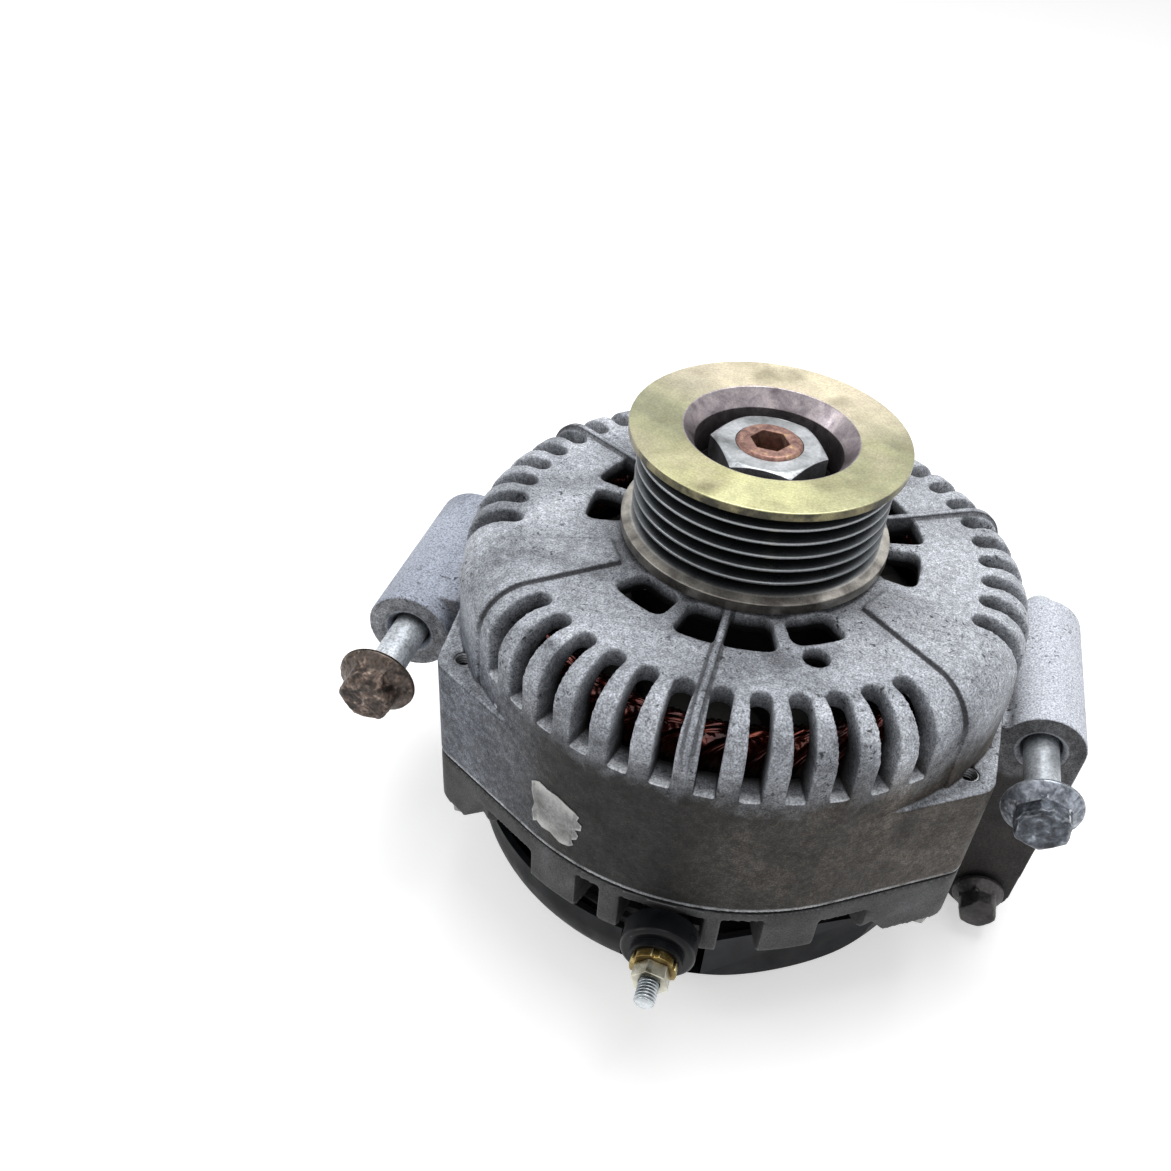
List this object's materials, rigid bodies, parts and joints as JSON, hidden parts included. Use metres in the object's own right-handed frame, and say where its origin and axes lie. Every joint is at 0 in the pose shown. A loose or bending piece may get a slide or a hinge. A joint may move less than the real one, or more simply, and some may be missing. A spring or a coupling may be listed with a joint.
{
  "type": "alternator",
  "caption": "Belt-driven vehicle alternator with a ribbed pulley, slotted cast dome, bored mounting tubes with loose bolts, an output stud and a moulded rear cover.",
  "frame": {"origin": "on the shaft axis, in the plane that the rear cover rests on", "axes": "+Z along the shaft toward the pulley, +Y away from the output terminal along the mounting bores, +X toward the arm"},
  "size_m": [0.1852, 0.1678, 0.132],
  "materials": {
    "cast_frame": "sand cast aluminium, weathered",
    "cast_rear_frame": "cast aluminium, dull",
    "machine_steel": "turned steel",
    "zinc_steel": "white zinc plated steel",
    "yellow_zinc_steel": "yellow passivated zinc on steel",
    "rusty_steel": "zinc plated steel with rust on the head",
    "lamination_steel": "stacked sheet steel, varnished",
    "enamelled_copper": "enamelled copper wire",
    "bare_copper": "copper, worn smooth",
    "brass_plated": "brass",
    "bearing_steel": "ground bearing steel",
    "sheet_steel": "pressed sheet steel",
    "plate_aluminium": "extruded aluminium plate",
    "black_plastic": "moulded glass-filled plastic",
    "dark_plastic": "moulded phenolic plastic",
    "natural_plastic": "natural nylon",
    "carbon": "pressed graphite",
    "spring_steel": "drawn spring wire"
  },
  "bodies": {
    "housing": {"drive_end_frame": "cast_frame", "slip_ring_end_frame": "cast_rear_frame", "through_bolts": "zinc_steel", "stator_core": "lamination_steel", "stator_windings": "enamelled_copper", "front_bearing_outer_race": "bearing_steel", "rear_bearing_outer_race": "bearing_steel", "bearing_retainer": "zinc_steel", "retainer_screws": "zinc_steel", "upper_brush_spring": "spring_steel", "lower_brush_spring": "spring_steel", "brush_holder": "dark_plastic", "negative_heat_sink": "plate_aluminium", "positive_heat_sink": "plate_aluminium", "negative_diodes": "zinc_steel", "positive_diodes": "zinc_steel", "terminal_board": "dark_plastic", "rectifier_bushes": "dark_plastic", "cover_studs": "zinc_steel", "rectifier_nuts": "zinc_steel", "cover_nuts": "zinc_steel", "voltage_regulator": "black_plastic", "regulator_screws": "zinc_steel", "connector_socket": "black_plastic", "connector_pins": "brass_plated", "b_plus_stud": "zinc_steel", "b_plus_bar": "bare_copper", "b_plus_insulator": "black_plastic", "b_plus_flange_nut": "brass_plated", "b_plus_hex_nut": "yellow_zinc_steel", "rear_cover": "black_plastic"},
    "rotor": {"rotor_shaft": "machine_steel", "pulley": "yellow_zinc_steel", "pulley_nut": "zinc_steel", "shaft_collar": "machine_steel", "rear_claw_pole": "machine_steel", "front_claw_pole": "machine_steel", "field_bobbin": "natural_plastic", "field_coil": "enamelled_copper", "front_fan": "sheet_steel", "rear_fan": "sheet_steel", "slip_rings": "bare_copper", "slip_ring_insulator": "dark_plastic", "front_bearing_inner_race": "bearing_steel", "rear_bearing_inner_race": "bearing_steel"},
    "front_balls": {"front_bearing_balls": "bearing_steel"},
    "rear_balls": {"rear_bearing_balls": "bearing_steel"},
    "upper_brush_body": {"upper_brush": "carbon"},
    "lower_brush_body": {"lower_brush": "carbon"},
    "left_bolt": {"left_mount_bolt": "rusty_steel"},
    "right_bolt": {"right_mount_bolt": "zinc_steel"},
    "lower_bolt": {"lower_mount_bolt": "zinc_steel"}
  },
  "joints": [
    {"name": "rotor_spin", "type": "hinge", "parent": "housing", "child": "rotor", "pos_m": [0, 0, 0.09], "axis": [0, 0, 1], "continuous": true},
    {"name": "front_balls_spin", "type": "hinge", "parent": "housing", "child": "front_balls", "pos_m": [0, 0, 0.09], "axis": [0, 0, 1], "continuous": true},
    {"name": "rear_balls_spin", "type": "hinge", "parent": "housing", "child": "rear_balls", "pos_m": [0, 0, 0.09], "axis": [0, 0, 1], "continuous": true},
    {"name": "upper_brush_slide", "type": "slide", "parent": "housing", "child": "upper_brush_body", "axis": [0, 1, 0], "range_m": [0, 0.006], "stiffness_N_per_m": 150, "springref_m": -0.012, "deforming": ["upper_brush_spring"]},
    {"name": "lower_brush_slide", "type": "slide", "parent": "housing", "child": "lower_brush_body", "axis": [0, 1, 0], "range_m": [0, 0.006], "stiffness_N_per_m": 150, "springref_m": -0.012, "deforming": ["lower_brush_spring"]},
    {"name": "left_bolt_slide", "type": "slide", "parent": "housing", "child": "left_bolt", "axis": [0, 1, 0], "range_m": [-0.03, 0.0187]},
    {"name": "right_bolt_slide", "type": "slide", "parent": "housing", "child": "right_bolt", "axis": [0, 1, 0], "range_m": [-0.03, 0.0187]},
    {"name": "lower_bolt_slide", "type": "slide", "parent": "housing", "child": "lower_bolt", "axis": [0, 1, 0], "range_m": [-0.012, 0.0012]}
  ],
  "couplings": [
    {"joint": "front_balls_spin", "follows": "rotor_spin", "ratio": 0.3812},
    {"joint": "rear_balls_spin", "follows": "rotor_spin", "ratio": 0.384}
  ]
}
